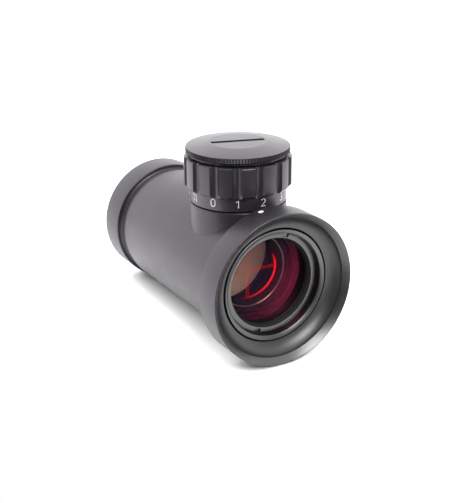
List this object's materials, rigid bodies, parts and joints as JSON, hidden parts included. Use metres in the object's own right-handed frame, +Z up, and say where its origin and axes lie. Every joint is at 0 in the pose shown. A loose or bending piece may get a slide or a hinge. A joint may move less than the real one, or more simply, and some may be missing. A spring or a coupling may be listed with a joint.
{
  "type": "red dot finder",
  "caption": "Unit-power tube finder for a telescope: lit circle-and-cross reticle, coated objective, and a fluted, numbered brightness dial that holds a coin cell under a slotted cap.",
  "frame": {"origin": "middle of the flat milled under the tube, where a bracket shoe is screwed on", "axes": "+Y along the tube towards the eye end, so the objective faces -Y; +Z up along the dial's axis; +X to the right of someone looking along +Y"},
  "size_m": [0.0382, 0.067, 0.0508],
  "materials": {
    "satin_black": "satin black anodised aluminium",
    "gloss_black": "semi-gloss black anodised aluminium",
    "matt_black": "matt black inside finish",
    "coated_glass": "polished, crimson coating",
    "clear_glass": "polished",
    "amber_glass": "polished amber coating",
    "rubber": "matt",
    "steel": "bright",
    "brass": "turned",
    "board_green": "solder mask",
    "tray_plastic": "moulded",
    "lamp_red": "clear red lens",
    "white_paint": "filled engraving",
    "reticle_red": "etched line lit from the plate's edge"
  },
  "bodies": {
    "housing": {"tube_housing": "satin_black", "rear_ring": "satin_black", "rear_window": "clear_glass", "rear_gasket": "rubber", "lens_cell": "gloss_black", "front_retaining_ring": "gloss_black", "objective_lens": "coated_glass", "objective_rear_element": "coated_glass", "lens_gasket": "rubber", "reticle_plate": "clear_glass", "reticle_holder": "matt_black", "spacer_tube": "matt_black", "amber_filter": "amber_glass", "filter_ring": "matt_black", "inner_baffle": "matt_black", "led_lamp": "lamp_red", "led_sleeve": "rubber", "led_lead_positive": "steel", "led_lead_negative": "steel", "dial_post": "brass", "switch_board": "board_green", "dial_clip": "steel", "detent_spring": "steel"},
    "dial": {"dial_knob": "satin_black", "switch_wiper": "brass", "dial_o_ring": "rubber", "battery_tray": "tray_plastic", "battery_contact": "brass", "battery": "steel"},
    "cap_ring": {"cap_seal": "rubber"},
    "cap": {"battery_cap": "satin_black", "cap_contact": "steel"},
    "click_ball": {"detent_ball": "steel"}
  },
  "joints": [
    {"name": "dial_turn", "type": "hinge", "parent": "housing", "child": "dial", "pos_m": [0, -0.0095, 0.038], "axis": [0, 0, 1], "range_deg": [-270, 60]},
    {"name": "cap_lift", "type": "slide", "parent": "dial", "child": "cap_ring", "axis": [0, 0, 1], "range_m": [0, 0.002]},
    {"name": "cap_turn", "type": "hinge", "parent": "cap_ring", "child": "cap", "pos_m": [0, -0.0095, 0.046], "axis": [0, 0, 1], "range_deg": [0, 900]},
    {"name": "detent_press", "type": "slide", "parent": "housing", "child": "click_ball", "axis": [0, 0, 1], "range_m": [-0.0004, 0.0002], "deforming": ["detent_spring"]}
  ],
  "couplings": [
    {"joint": "cap_lift", "follows": "cap_turn", "m_per_rad": 0.00012732}
  ]
}
